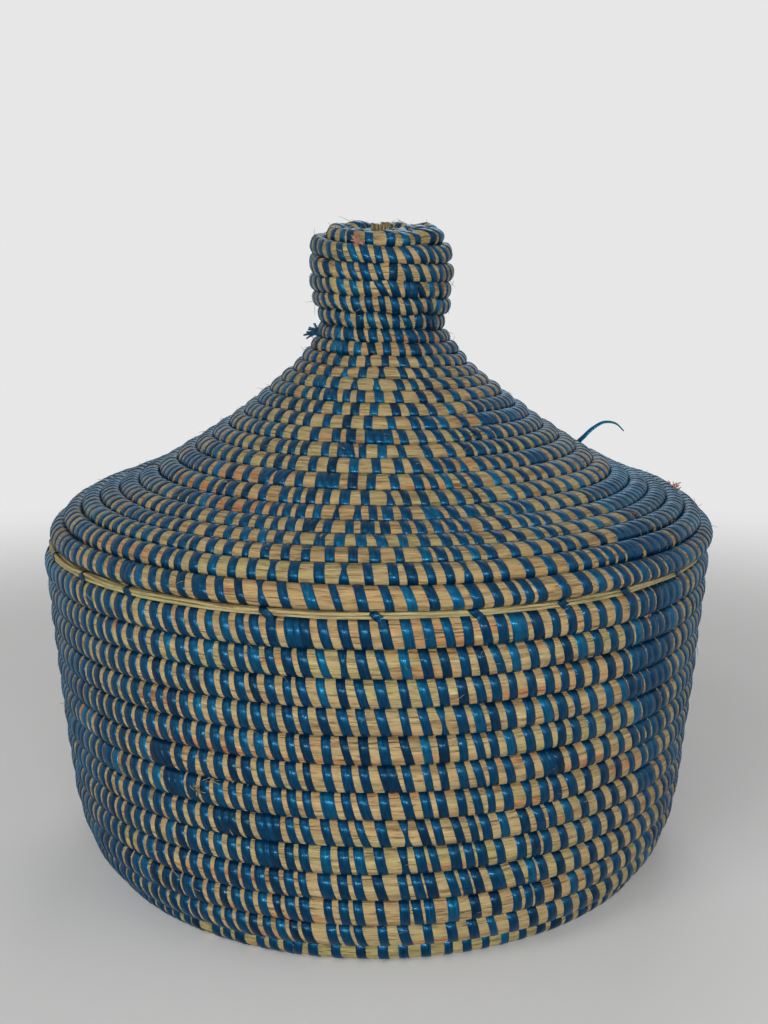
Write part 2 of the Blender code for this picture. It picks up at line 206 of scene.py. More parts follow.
# Band of loose straws on the rim: places out from its middle and up from its foot, and their section
BAND_WIDTH = 0.0068
BAND_STRAWS = (
    (0.00245, 0.00070), (0.00225, 0.00192), (0.00055, 0.00062),
    (0.00045, 0.00186), (-0.0014, 0.00066), (-0.0016, 0.00180),
)
BAND_STEPS = 360
BAND_SIDES = 8
BAND_STRAW_WIDE = 0.00098
BAND_STRAW_TALL = 0.00066
BAND_WAVE_OUT = 0.00012
BAND_WAVE_UP = 0.00005

# Ties round the band: degrees from the front, then sideways, out and up as a share of the band
TIE_DEGREES = (-38, -14.5, 2.6, 15.4, 29.5, 42)
TIE_SPACING = 14
TIE_SCATTER = 2
TIE_WIDTHS = (0.0030, 0.0036)
TIE_TONE = 0.2
TIE_POINTS = 44
TIE_LIFT = -0.00022
TIE_START = (-20, -5, 10, 24, 36, 46)
TIE_STEPS = (
    (-0.0009, 0.0001, 0.05), (-0.0020, 0.0001, 0.38), (-0.0031, 0.0000, 0.76), (-0.0038, -0.0008, 0.98),
    (-0.0043, -0.0028, 1.02), (-0.0046, -0.0050, 0.96), (-0.0047, -0.0064, 0.50),
)

# Tufts: body, material, turn, place round the rope in degrees, length, spread, heading, thickness
TUFTS = (
    ("basket", "pink_straw", 21.503, 60, 0.0050, 0.0009, 0.5, 0.0004),
    ("basket", "pale_straw", 16.297, 15, 0.0036, 0.0008, 0.3, 0.0004),
    ("lid", "pink_straw", 3.325, -60, 0.0050, 0.0016, -0.4, 0.0008),
    ("lid", "pink_straw", 24.619, 15, 0.0052, 0.0008, 0.6, 0.0004),
    ("lid", "strip", 8.133, 30, 0.0060, 0.0007, -1.0, 0.0008),
)
TUFT_STRANDS = 14
TUFT_STEPS = 6
TUFT_STRAY = 0.35
ROOT_DEPTH = 0.0004
CURLED_END = (
    (0.0925, 0.0150, 0.1880), (0.0944, 0.0144, 0.1900), (0.0990, 0.0140, 0.1946),
    (0.1040, 0.0130, 0.1975), (0.1090, 0.0120, 0.1970), (0.1130, 0.0110, 0.1935),
)
CURLED_ACROSS = (0.1, 0.6, 1.0)
CURLED_WIDTHS = (0.0028, 0.0006)
CURLED_POINTS = 30
STUB_FOOT = 0.2780
STUB_TOP = 0.2895
STUB_STRANDS = 26
STUB_REACH = 0.0036
STUB_FORWARD = 0.0010
STUB_SPREAD = 1.25
STUB_STRAND_RADIUS = 0.00055

# Fraying: strands on each body, the longest ones of straw and of strip, and their section
FRAY_COUNT = 900
FRAY_STRAW_LENGTH = 0.0060
FRAY_STRIP_LENGTH = 0.0050
FRAY_RADII = (0.00014, 0.00006)
FRAY_STEPS = 7
FRAY_CLEARANCE = 0.0002

# How the soft lid sits: height, and how far it stands to the right there
LID_DRIFT = ((0.150, 0.0022), (0.172, 0.0030), (0.205, 0.0037), (0.232, 0.0026), (0.288, 0.0018))
KNOB_TILT = 0.15
TILT_START = 0.256
TILT_FULL = 0.288

# Straws: dark colour, which also paints the shade in the grooves between fibres, middle and pale colour, tint
# of the dyed ones and their share
STRAWS = {
    "straw": ((0.085, 0.050, 0.020), (0.330, 0.252, 0.120), (0.545, 0.440, 0.250), (1.02, 0.64, 0.54), 0.42),
    "pale_straw": ((0.150, 0.115, 0.050), (0.370, 0.315, 0.155), (0.540, 0.470, 0.270), (1, 0.85, 0.7), 0.34),
    "stub_straw": ((0.060, 0.045, 0.018), (0.200, 0.155, 0.065), (0.360, 0.290, 0.150), (1, 0.85, 0.7), 0.34),
    "pink_straw": ((0.160, 0.060, 0.040), (0.400, 0.190, 0.130), (0.560, 0.360, 0.240), (1, 0.80, 0.7), 0.40),
}
STRIP_DARK = (0.001, 0.012, 0.036)
STRIP_MIDDLE = (0.001, 0.028, 0.073)
STRIP_BRIGHT = (0.002, 0.062, 0.132)
STRIP_SHEEN = (0.03, 0.66, 0.90)
WHITE = (1, 1, 1)
BLACK = (0, 0, 0)
# Noises: how fast they change along and round a rope and from tone to tone, detail, roughness
STRAW_FIBRES = ((60, 1150, 31), 4, 0.72)
STRAW_BUNDLES = ((75, 420, 17), 2, 0.5)
STRAW_PATCHES = ((19, 130, 9), 2, 0.55)
STRAW_WEATHER = ((10, 30, 5), 2, 0.5)
STRIP_CREASES = ((60, 6.5, 83), 3, 0.6)
STRIP_WEAR = ((150, 1.2, 57), 2, 0.5)
# Stops of the colour ramps
# Fibre stops: darker and paler streaks in the straw's own tones, with painted shade in the grooves between
# fibres where the noise is low
FIBRE_TONE_AND_SHADE_STOPS = (0.34, 0.46, 0.58, 0.72)
BUNDLE_TINTS = ((0.30, (0.60, 0.56, 0.50)), (0.50, WHITE), (0.75, (1.12, 1.10, 1.04)))
WEATHER_TINTS = ((0.36, (1.06, 0.94, 0.86)), (0.52, WHITE), (0.70, (0.90, 1.0, 0.80)))
DYE_STOPS = ((0, BLACK), (0.05, (0.5, 0.5, 0.5)), (0.14, WHITE))
TONE_STOPS = (0.0, 0.35, 0.80, 1.0)
# Crease tints: the strip's own streaks, with painted shade where the crease noise is low and painted sheen
# where it is high
CREASE_SHADE_AND_SHEEN_TINTS = ((0.30, (0.45, 0.50, 0.58)), (0.50, WHITE), (0.70, (1.4, 1.5, 1.3)))
WEAR_STOPS = ((0.60, BLACK), (0.80, (0.30, 0.30, 0.30)))
# Finishes: roughness where the noise is low and high, strength and depth of the bumps
STRAW_FINISH = (0.80, 0.52, 1.0, 0.0011)
STRIP_FINISH = (0.22, 0.40, 0.8, 0.00026)
STRAW_GLOSS = {"Specular IOR Level": 0.35}
STRIP_GLOSS = {
    "Specular IOR Level": 0.30,
    "Metallic": 0.45,
    "Specular Tint": STRIP_SHEEN,
    "Coat Weight": 0.12,
    "Coat Roughness": 0.12,
}


# Outline of the rope centres, wound as in the solids
def run_lengths(points):
    """Distance from the first point to each one, along the path through them."""
    return np.concatenate([[0], np.cumsum(np.linalg.norm(np.diff(points, axis=0), axis=1))])


def profile_through(corners, rounding):
    corners = np.array(corners)
    runs = run_lengths(corners)
    along = np.linspace(0, runs[-1], PROFILE_SAMPLES)
    reach = np.minimum(rounding / 2, np.minimum(along, runs[-1] - along))
    spread = along[:, None] + reach[:, None] * np.linspace(-1, 1, ROUNDING_SAMPLES)
    radius = np.interp(spread, runs, corners[:, 0]).mean(1)
    height = np.interp(spread, runs, corners[:, 1]).mean(1)
    steps = np.hypot(np.diff(radius), np.diff(height))
    length = np.concatenate([[0], np.cumsum(steps)])
    slope = np.arctan2(np.gradient(height), np.gradient(radius))
    return {"length": length, "radius": radius, "height": height, "slope": np.unwrap(slope)}


def read_profile(profile, length):
    """Radius, height and slope at a length along the outline."""
    return [np.interp(length, profile["length"], profile[key]) for key in ("radius", "height", "slope")]


def corner_radius(width):
    return (width - ROW_GAP) / 2 / math.cos(HALF_SIDE_ANGLE)


def section_reach(radius, slope, direction):
    off = np.mod(direction - slope, 2 * HALF_SIDE_ANGLE)
    return radius * np.cos(off - HALF_SIDE_ANGLE)


def next_row(profile, start, width, next_width):
    plain = start + (width + next_width) / 2
    radius, height, slope = read_profile(profile, start)
    ahead = (profile["length"] > start) & (profile["length"] < start + 2 * (width + next_width))
    if not ahead.any():
        return plain
    across = profile["radius"][ahead] - radius
    up = profile["height"][ahead] - height
    direction = np.arctan2(up, across)
    needed = ROW_GAP + section_reach(corner_radius(width), slope, direction)
    needed = needed + section_reach(corner_radius(next_width), profile["slope"][ahead], direction + math.pi)
    spare = np.hypot(across, up) - needed
    if spare[-1] < 0:
        return plain
    first = int(np.argmax(spare >= 0))
    lengths = profile["length"][ahead]
    if first == 0:
        return lengths[0]
    return np.interp(0, spare[first - 1 : first + 1], lengths[first - 1 : first + 1])


def row_width(widths, number):
    return np.interp(number, np.arange(len(widths)), widths)


def row_table(profile, start, widths, turns):
    numbers = np.arange(0, turns * TABLE_STEPS + 1) / TABLE_STEPS
    lengths = start + numbers * (widths[0] + widths[1]) / 2
    for step in range(TABLE_STEPS + 1, len(numbers)):
        inner, outer = row_width(widths, numbers[step] - 1), row_width(widths, numbers[step])
        lengths[step] = next_row(profile, lengths[step - TABLE_STEPS], inner, outer)
    return numbers, lengths


def carried_on(corners, distance):
    (radius, height), (last_radius, last_height) = corners[-2:]
    run = math.hypot(last_radius - radius, last_height - height)
    beyond_radius = last_radius + (last_radius - radius) * distance / run
    beyond_height = last_height + (last_height - height) * distance / run
    return [*corners, (beyond_radius, beyond_height)]


def wind(corners_for, shares, knot_radius):
    last = len(shares) - 1
    low, high = SCALE_LIMITS
    for _ in range(SCALE_HALVINGS):
        scale = (low + high) / 2
        widths = np.array(shares) * scale
        profile = profile_through(carried_on(corners_for(widths), widths[-1]), widths.max())
        end = profile["length"][-1] - widths[-1]
        start = knot_radius + SEAT_GAP + (widths[0] - ROW_GAP) / 2
        length = start + (widths[0] + widths[1]) / 2
        for number in range(1, last):
            length = next_row(profile, length, widths[number], widths[number + 1])
        if length > end:
            high = scale
        else:
            low = scale
    numbers, lengths = row_table(profile, start, widths, last)
    return {"profile": profile, "widths": widths, "numbers": numbers, "lengths": lengths}


def between(start, end, shares):
    """Corners at shares of the way from start to end, across and up."""
    (radius, height), (far, high) = start, end
    return [(radius + (far - radius) * across, height + (high - height) * up) for across, up in shares]


def body_corners(widths):
    corner = corner_radius(widths[-1])
    base_height = corner * (1 - 2 * CUT_DEPTH_SHARE)
    foot = FOOT_RADIUS - corner
    mouth = WIDEST_RADIUS - corner
    top = BODY_HEIGHT - (widths[-1] - ROW_GAP) / 2
    wall = between((foot, base_height), (mouth, top), WALL_SHARES)
    return [(0, base_height), (foot, base_height), *wall, (mouth, top)]


def lid_corners(widths, seat_height):
    knob_corner = corner_radius(widths[KNOB_TOP_TURNS])
    knob = KNOB_RADIUS - knob_corner
    neck = NECK_RADIUS - knob_corner
    edge_corner = corner_radius(widths[-1])
    edge = LID_RADIUS - edge_corner
    across, up = CONE_SHARES[-1]
    edge_slope = math.atan2(-NECK_HEIGHT * up, (edge - neck) * (1 - across))
    seat = section_reach(edge_corner, edge_slope, -math.pi / 2)
    crest = NECK_HEIGHT + KNOB_HEIGHT - knob_corner
    dish = crest - KNOB_DISH_DEPTH
    corners = [(0, dish), (knob * KNOB_DISH_SHARE, dish), (knob - knob_corner, crest)]
    corners += between((neck, NECK_HEIGHT), (knob, crest), KNOB_SIDE_SHARES)
    corners += [(neck, NECK_HEIGHT), *between((neck, seat), (edge, NECK_HEIGHT), CONE_SHARES), (edge, seat)]
    return [(radius, height + seat_height) for radius, height in corners]


def eased(value, start, end):
    return np.clip((value - start) / (end - start), 0, 1)


def climb(share):
    run = eased(share, CLIMB_START_SHARE, 1)
    return run * run * (3 - 2 * run)


# A trace is a rope's centre line with its section axes, sampled evenly over its turns.
def row_numbers(turns, bends):
    """The row number at each turn, and how much the rope thins where its rows become level."""
    even_turns, level_turn = bends
    whole = np.floor(turns)
    share = turns - whole
    level = eased(whole, even_turns, level_turn)
    thinner = 1 - np.maximum(share - climb(share), 0) / (level_turn - even_turns)
    thinner = np.where((whole >= even_turns) & (whole <= level_turn), thinner, 1)
    return whole + (1 - level) * share + level * climb(share), thinner


def spiral_trace(winding, rows, bends, outward, seed):
    """The whole rope, row after row, then the last row, whose tail thins over the climb beneath it."""
    turns = np.linspace(0, rows + 1, (rows + 1) * TRACE_STEPS + 1)[:-1]
    numbers, thinner = row_numbers(turns, bends)
    length = np.interp(numbers, winding["numbers"], winding["lengths"])
    width = row_width(winding["widths"], numbers) * thinner
    last = turns >= rows
    left = 1 - climb(turns - rows)
    edge_width = winding["widths"][-1]
    length = np.where(last, winding["lengths"][-1] + edge_width * (1 - left) / 2, length)
    width = np.where(last, edge_width * left, width)
    kept = ~last | (left > TAIL_END_SHARE)
    parts = (turns, *read_profile(winding["profile"], length), width)
    return framed(*(part[kept] for part in parts), outward, seed)


def waves(dice, places, count, paces, whole=False):
    """A sum of sine waves. Whole ones meet round a closed ring."""
    total = 0
    for _ in range(count):
        pace = dice.uniform(*paces)
        total = total + np.sin((round(pace) if whole else pace) * places + dice.uniform(0, 6))
    return total


def on_circle(radius, angle, height):
    return np.stack([radius * np.cos(angle), radius * np.sin(angle), height], 1)


def full_turn(count):
    return math.tau * np.arange(count) / count


def framed(turns, radius, height, slope, width, outward, seed):
    """outward is 1 on the basket and -1 on the lid, whose profile runs the other way."""
    turns, radius, height, slope, width = np.broadcast_arrays(turns, radius, height, slope, width)
    angle = SEAM_ANGLE + math.tau * turns
    centre = on_circle(radius, angle, height)
    face = on_circle(np.sin(slope), angle, -np.cos(slope)) * outward
    rise = on_circle(np.cos(slope), angle, np.sin(slope))
    dice = default_rng(seed)
    rougher = np.clip(KNOB_ROWS + 1 - turns, 0, 1) * KNOB_ROUGHER if outward < 0 else 0
    for axis in (face, rise):
        wobble = ROPE_WOBBLE * (1 + rougher) * waves(dice, turns, *ROPE_WAVES) / 3
        centre = centre + axis * wobble[:, None]
    if outward < 0:
        centre = as_the_lid_sits(centre)
    along = run_lengths(centre)
    return {
        "turn": turns,
        "centre": centre,
        "forward": unit(np.gradient(centre, axis=0)),
        "face": face,
        "rise": rise,
        "width": width,
        "along": along,
        "round": np.gradient(along, turns),
    }


def unit(vectors):
    return vectors / np.linalg.norm(vectors, axis=1, keepdims=True)


def as_the_lid_sits(points):
    """A little to the right of the basket's axis, with the top of the knob dipping to the front."""
    points = points.copy()
    heights, drifts = zip(*LID_DRIFT)
    points[..., 2] += KNOB_TILT * eased(points[..., 2], TILT_START, TILT_FULL) * points[..., 1]
    points[..., 0] += np.interp(points[..., 2], heights, drifts)
    return points


def at_turns(trace, key, turns):
    values = trace[key]
    if values.ndim == 1:
        return np.interp(turns, trace["turn"], values)
    return np.stack([np.interp(turns, trace["turn"], values[:, axis]) for axis in range(3)], 1)


def section(trace, turns, angles, swell, lean, slide=0.0, scale=1.0):
    """Rings of points round the rope: swell goes outward, lean and slide shift points along the rope."""
    parts = (np.cos(angles), np.sin(angles))
    cosine, sine = (np.sign(part) * np.abs(part) ** (2 / SECTION_POWER) for part in parts)
    half = at_turns(trace, "width", turns)[:, None] / 2
    out = (half + swell - STRIP_THICKNESS) * cosine * scale
    side = (half * SIDE_FILL + swell / 2) * sine * scale
    slide = side * lean[:, None] + slide
    points = at_turns(trace, "centre", turns)[:, None, :]
    for axis, amount in (("face", out), ("rise", side), ("forward", slide)):
        points = points + at_turns(trace, axis, turns)[:, None, :] * amount[..., None]
    points[..., 2] = np.maximum(points[..., 2], TABLE_LEVEL)
    return points


# Where the strip passes round the rope
def place_wraps(trace, habits, seed):
    """Turn values of the wraps, each led by the wraps of the turn before it."""
    dice = default_rng(seed)
    turns = trace["turn"]
    marks = [turns[0] + FIRST_WRAP_SHARE * habits(turns[0])["pitch"] / trace["round"][0]]
    while marks[-1] < turns[-1]:
        last = marks[-1]
        habit = habits(last)
        step = habit["pitch"] / np.interp(last, turns, trace["round"])
        wanted = last + step * dice.uniform(*PITCH_SHARES)
        ahead = 1 + habit["shift"] * step
        beneath = int(np.searchsorted(marks, last + LEAST_ROOM * step - ahead))
        if 0 < beneath < len(marks):
            led = marks[beneath] + ahead
            room = (led - last) / step
            if room > MOST_ROOM:
                led = last + (led - last) / 2 if room < 2 * MOST_ROOM else wanted
            wanted += habit["hold"] * (led - wanted)
        marks.append(max(wanted, last + LEAST_ROOM * step))
    return np.array([mark for mark in marks if mark < turns[-1] - LAST_WRAP_SHARE * step])


def wind_strip(trace, habits, seed):
    """Each wrap's place, lean, width, pinch and tone. A few are wide, crossing, forked or doubled."""
    dice = default_rng(seed)
    turns = place_wraps(trace, habits, seed)
    count = len(turns)
    found = [habits(turn) for turn in turns]
    keys = ("strip", "lean", "stray", "pitch")
    strip, lean, stray, pitch = (np.array([habit[key] for habit in found]) for key in keys)
    lean = lean + dice.normal(0, 1, count) * stray
    strip = strip * dice.normal(1, WIDTH_STRAY, count).clip(*WIDTH_LIMITS)
    strip = np.where(dice.random(count) < WIDE_CHANCE, strip * WIDE_SHARE, strip)
    crossing = dice.random(count) < CROSSING_CHANCE
    lean = np.where(crossing, lean + dice.choice([-CROSSING_LEAN, CROSSING_LEAN], count), lean)
    pinch = np.where(dice.random(count) < PINCH_CHANCE, dice.uniform(*PINCH_SHARES, count), 0)
    tone = dice.random(count)
    lift = dice.normal(0, LIFT_STRAY, count)
    forked = np.flatnonzero(dice.random(count) < FORK_CHANCE)
    beside = np.flatnonzero(dice.random(count) < BESIDE_CHANCE)
    size = at_turns(trace, "round", turns)
    wraps = {"turn": turns, "lean": lean, "strip": strip, "pinch": pinch, "tone": tone, "lift": lift}
    forks, seconds = ({key: value[some] for key, value in wraps.items()} for some in (forked, beside))
    forks["turn"] += FORK_OFFSET * forks["strip"] / size[forked]
    forks["lean"] += dice.choice([-FORK_LEAN, FORK_LEAN], len(forked))
    forks["strip"] *= FORK_WIDTH
    forks["lift"] += FORK_LIFT
    seconds["turn"] += BESIDE_OFFSET * seconds["strip"] / size[beside]
    wraps = {key: np.concatenate([wraps[key], forks[key], seconds[key]]) for key in wraps}
    order = np.argsort(wraps["turn"])
    wraps = {key: value[order] for key, value in wraps.items()}
    wraps["step"] = pitch.mean() / size.mean()
    return wraps


def from_front(turn):
    return math.remainder(SEAM_ANGLE + math.tau * turn - FRONT, math.tau)


def body_habits(turn):
    """Pitch, width, shift to the next row, how firmly it holds, lean and stray of the wraps."""
    return {
        "pitch": BODY_PITCH - WALL_PITCH_LESS * eased(turn, BASE_TURNS - 1, BASE_TURNS + 1),
        "strip": BODY_STRIP + SIDE_STRIP_MORE * eased(abs(from_front(turn)), 0.3, 0.9),
        "shift": 0.03 + 0.12 * math.sin(0.9 * turn),
        "hold": 0.85,
        "lean": -0.22 + 0.05 * math.sin(3.1 * turn),
        "stray": BODY_STRAY,
    }


def lid_habits(turn):
    """On the right of the front the wraps run on from row to row in long diagonals."""
    side = from_front(turn)
    on_cone = eased(turn, KNOB_ROWS - 2, KNOB_ROWS)
    on_edge = eased(turn, LID_ROWS - 0.02, LID_ROWS + 0.02)
    slanted = on_cone / (1 + math.exp((SLANT_START - side) / SLANT_START_SOFTNESS))
    slanted = slanted / (1 + math.exp((side - SLANT_END) / SLANT_END_SOFTNESS))
    knob_lean = 0.42 - 0.30 * eased(turn, KNOB_TOP_TURNS, KNOB_ROWS)
    lean = (0.07 + 0.20 * slanted) * on_cone + knob_lean * (1 - on_cone)
    return {
        "pitch": LID_PITCH + CONE_PITCH_MORE * on_cone,
        "strip": LID_STRIP + SIDE_STRIP_MORE * eased(abs(side), 0.35, 0.9) * on_cone,
        "shift": (-0.22 + 0.53 * slanted) * on_cone,
        "hold": 0.70 + 0.30 * slanted,
        "lean": lean + (0.34 - lean) * on_edge,
        "stray": LID_STRAY - (0.105 + 0.032 * slanted) * on_cone,
    }


# Meshes
GRID_PARTS = "points along round closed_rows closed_columns along_end round_end tone"
Grid = namedtuple("Grid", GRID_PARTS, defaults=(False, True, 0, 0, 0.5))


def grid_faces(rows, columns, closed_rows, closed_columns):
    row = np.arange(rows if closed_rows else rows - 1)
    column = np.arange(columns if closed_columns else columns - 1)
    row, column = (each.ravel() for each in np.meshgrid(row, column, indexing="ij"))
    return np.stack([row, row, row + 1, row + 1], 1), np.stack([column, column + 1, column + 1, column], 1)


def grid_piece(name, grids, material, body, node=None):
    """One mesh from grids of points, with rope lengths as its coordinates and a tone for each grid."""
    points, faces, maps, tones = [], [], [], []
    start = 0
    for one in grids:
        rows, columns = one.points.shape[:2]
        corner_rows, corner_columns = grid_faces(rows, columns, one.closed_rows, one.closed_columns)
        points.append(one.points.reshape(-1, 3))
        faces.append(start + (corner_rows % rows) * columns + corner_columns % columns)
        along = np.append(one.along, one.along_end)[corner_rows]
        around = np.append(one.round, one.round_end)[corner_columns]
        maps.append(np.stack([along, around], -1).reshape(-1, 2))
        tones.append(np.full(rows * columns, one.tone))
        start += rows * columns
    mesh = bpy.data.meshes.new(name)
    points, faces = np.concatenate(points), np.concatenate(faces)
    mesh.vertices.add(len(points))
    mesh.vertices.foreach_set("co", points.astype(np.float32).ravel())
    mesh.loops.add(faces.size)
    mesh.loops.foreach_set("vertex_index", faces.astype(np.int32).ravel())
    mesh.polygons.add(len(faces))
    mesh.polygons.foreach_set("loop_start", np.arange(0, faces.size, 4, dtype=np.int32))
    mesh.update(calc_edges=True)
    mesh.polygons.foreach_set("use_smooth", np.ones(len(faces), dtype=bool))
    layer = mesh.uv_layers.new(name="rope")
    layer.data.foreach_set("uv", np.concatenate(maps).astype(np.float32).ravel())
    attribute = mesh.attributes.new("tone", "FLOAT", "POINT")
    attribute.data.foreach_set("value", np.concatenate(tones).astype(np.float32))
    mesh.materials.append(MATERIALS[material])
    mesh.validate()
    piece = placed(name, mesh)
    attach(piece, body)
    if node:
        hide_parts(node)


def placed(name, data):
    thing = bpy.data.objects.new(name, data)
    bpy.context.scene.collection.objects.link(thing)
    return thing


def straw_rope(name, trace, wraps, first, last, body, node):
    """The straw bundle: pinched under each wrap and swelling between them, with flat cut ends."""
    first, last = max(first, trace["turn"][0]), min(last, trace["turn"][-1])
    turns, lean = wraps["turn"], wraps["lean"]
    gaps = np.diff(turns)
    roomy = np.clip(gaps / wraps["step"], *BULGE_LIMITS)
    rows = [np.stack([turns, np.full(len(turns), -WRAP_PINCH), lean])]
    for share, fullness in BULGE_SHARES:
        swell = STRAW_BULGE * roomy * fullness
        rows.append(np.stack([turns[:-1] + gaps * share, swell, lean[:-1] * (1 - share) + lean[1:] * share]))
    ends = np.array([[first, last], [0, 0], [0, 0]])
    rows = np.concatenate([*rows, ends], 1)
    rows = rows[:, np.argsort(rows[0], kind="stable")]
    stations, swells, leans = np.concatenate([ends[:, :1], rows, ends[:, 1:]], 1)
    scale = np.ones(len(stations))
    scale[0] = scale[-1] = END_SCALE
    points = section(trace, stations, -full_turn(ROPE_SIDES), swells[:, None], leans, scale=scale[:, None])
    girth = math.pi * float(trace["width"].max())
    around = np.arange(ROPE_SIDES) / ROPE_SIDES * girth
    rope = Grid(points, at_turns(trace, "along", stations), around, round_end=girth)
    grid_piece(name, [rope], "straw", body, node=node)


def strip_wraps(name, trace, wraps, body):
    """The plastic strip: one thin raised band round the rope for each wrap."""
    angles = full_turn(STRIP_SIDES)
    lanes = (
        (-0.50, -STRIP_SINK),
        (-STRIP_SHOULDER_SHARE, STRIP_THICKNESS),
        (0, STRIP_THICKNESS + STRIP_CROWN),
        (STRIP_SHOULDER_SHARE, STRIP_THICKNESS),
        (0.50, -STRIP_SINK),
    )
    waist = 1 - wraps["pinch"][:, None] * np.exp(-((np.sin(angles / 2) / PINCH_REACH) ** 2))[None, :]
    bands = []
    for lane, lift in lanes:
        slide = lane * wraps["strip"][:, None] * waist
        swell = (lift + wraps["lift"])[:, None]
        bands.append(section(trace, wraps["turn"], angles, swell, wraps["lean"], slide=slide))
    bands = np.stack(bands, 2)
    girths = math.pi * at_turns(trace, "width", wraps["turn"])
    across = np.array([lane for lane, _ in lanes])
    grids = []
    for number, (band, girth, tone) in enumerate(zip(bands, girths, wraps["tone"])):
        start = number * PATTERN_STEP % PATTERN_LENGTH
        along = start + angles / math.tau * girth
        grids.append(Grid(band, along, across, True, False, along_end=start + girth, tone=tone))
    grid_piece(name, grids, "strip", body)


def tube(path, radius, tone, sides=6, flat=1.0):
    """A thin tube along a path of points, closed at its ends. flat squeezes its section."""
    radius = np.broadcast_to(radius, len(path))
    forward = unit(np.gradient(path, axis=0))
    across = unit(np.cross(forward, TUBE_HELPER))
    over = np.cross(across, forward)
    path, across, over = (np.concatenate([each[:1], each, each[-1:]]) for each in (path, across, over))
    radius = np.concatenate([[radius[0] * END_SCALE], radius, [radius[-1] * END_SCALE]])
    angles = full_turn(sides)
    cosine, sine = np.cos(angles)[None, :, None], np.sin(angles)[None, :, None]
    ring = cosine * across[:, None, :] + flat * sine * over[:, None, :]
    points = path[:, None, :] + radius[:, None, None] * ring
    girth = math.tau * float(radius.max())
    return Grid(points, run_lengths(path), angles / math.tau * girth, round_end=girth, tone=tone)


def flat_strip(path, across, width, tone):
    """A free length of strip: thin, with its two faces along a path."""
    forward = unit(np.gradient(path, axis=0))
    across = unit(across - forward * (across * forward).sum(1, keepdims=True))
    over = np.cross(forward, across)
    width = np.broadcast_to(width, len(path))
    rings = []
    for side, up in FLAT_SECTION:
        rings.append(path + across * (side * width)[:, None] + over * (up * STRIP_THICKNESS))
    rings = np.stack(rings, 1)
    middle = rings.mean(1, keepdims=True)
    closing = middle + (rings - middle) * END_SCALE
    points = np.concatenate([closing[:1], rings, closing[-1:]])
    around = np.array([side for side, _ in FLAT_SECTION])
    return Grid(points, run_lengths(points.mean(1)), around, round_end=around[0], tone=tone)


# Materials
def feed(tree, socket, value):
    """Gives an input a value or a colour, or joins it to an output."""
    if isinstance(value, bpy.types.NodeSocket):
        tree.links.new(value, socket)
    else:
        socket.default_value = (*value, 1) if socket.type == "RGBA" else value


def add_node(tree, kind, inputs=None, **settings):
    node = tree.nodes.new("ShaderNode" + kind)
    for name, value in settings.items():
        setattr(node, name, value)
    for name, value in (inputs or {}).items():
        feed(tree, node.inputs[name], value)
    return node


def new_material(name):
    material = bpy.data.materials.new(name)
    material.use_nodes = True
    material.node_tree.nodes.clear()
    return material, material.node_tree


def scaled_noise(tree, place, scale, detail, roughness):
    stretch = add_node(tree, "VectorMath", {0: place, 1: scale}, operation="MULTIPLY")
    inputs = {"Scale": 1, "Detail": detail, "Roughness": roughness, "Vector": stretch.outputs[0]}
    return add_node(tree, "TexNoise", inputs).outputs["Fac"]


def ramp(tree, factor, stops):
    node = add_node(tree, "ValToRGB", {"Fac": factor})
    elements = node.color_ramp.elements
    while len(elements) < len(stops):
        elements.new(0.5)
    for element, (place, colour) in zip(elements, stops):
        element.position = place
        element.color = (*colour, 1)
    return node.outputs["Color"]


def mixed(tree, factor, first, second, blend="MIX"):
    node = add_node(tree, "Mix", {"Factor": factor}, data_type="RGBA", blend_type=blend)
    coloured = [one for one in node.inputs if one.type == "RGBA"]
    for socket, value in zip(coloured, (first, second)):
        feed(tree, socket, value)
    return [one for one in node.outputs if one.type == "RGBA"][0]


def rope_coordinates(tree):
    """Length along the rope, length round it and the grid's own tone, as one vector."""
    layer = add_node(tree, "UVMap", uv_map="rope")
    split = add_node(tree, "SeparateXYZ", {0: layer.outputs["UV"]})
    tone = add_node(tree, "Attribute", attribute_name="tone").outputs["Fac"]
    whole = add_node(tree, "CombineXYZ", {"X": split.outputs["X"], "Y": split.outputs["Y"], "Z": tone})
    return whole.outputs[0], tone


def surface(tree, colour, grain, finish, gloss):
    """The Principled shader, its roughness and its bumps, which both follow the grain."""
    low, high, strength, depth = finish
    rough = add_node(tree, "MapRange", {"To Min": low, "To Max": high, "Value": grain})
    bump = add_node(tree, "Bump", {"Strength": strength, "Distance": depth, "Height": grain})
    inputs = {
        "Base Color": colour,
        "Roughness": rough.outputs["Result"],
        "Normal": bump.outputs["Normal"],
        **gloss,
    }
    shader = add_node(tree, "BsdfPrincipled", inputs)
    add_node(tree, "OutputMaterial", {"Surface": shader.outputs[0]})
    return shader, bump


def straw_material(name, dark, middle, pale, dyed, dyed_share):
    material, tree = new_material(name)
    place, _ = rope_coordinates(tree)
    noises = (STRAW_FIBRES, STRAW_BUNDLES, STRAW_PATCHES, STRAW_WEATHER)
    fibres, bundles, patches, weather = (scaled_noise(tree, place, *noise) for noise in noises)
    # Streaks along the fibres: the straw's own tones, with painted shade in the grooves, darkest where the
    # bump is lowest
    colour = ramp(tree, fibres, list(zip(FIBRE_TONE_AND_SHADE_STOPS, (dark, middle, middle, pale))))
    colour = mixed(tree, 1, colour, ramp(tree, bundles, BUNDLE_TINTS), "MULTIPLY")
    colour = mixed(tree, 1, colour, ramp(tree, weather, WEATHER_TINTS), "MULTIPLY")
    dye = ramp(tree, patches, [(1 - dyed_share + beyond, shade) for beyond, shade in DYE_STOPS])
    colour = mixed(tree, dye, colour, mixed(tree, 1, colour, dyed, "MULTIPLY"))
    surface(tree, colour, fibres, STRAW_FINISH, STRAW_GLOSS)
    return material


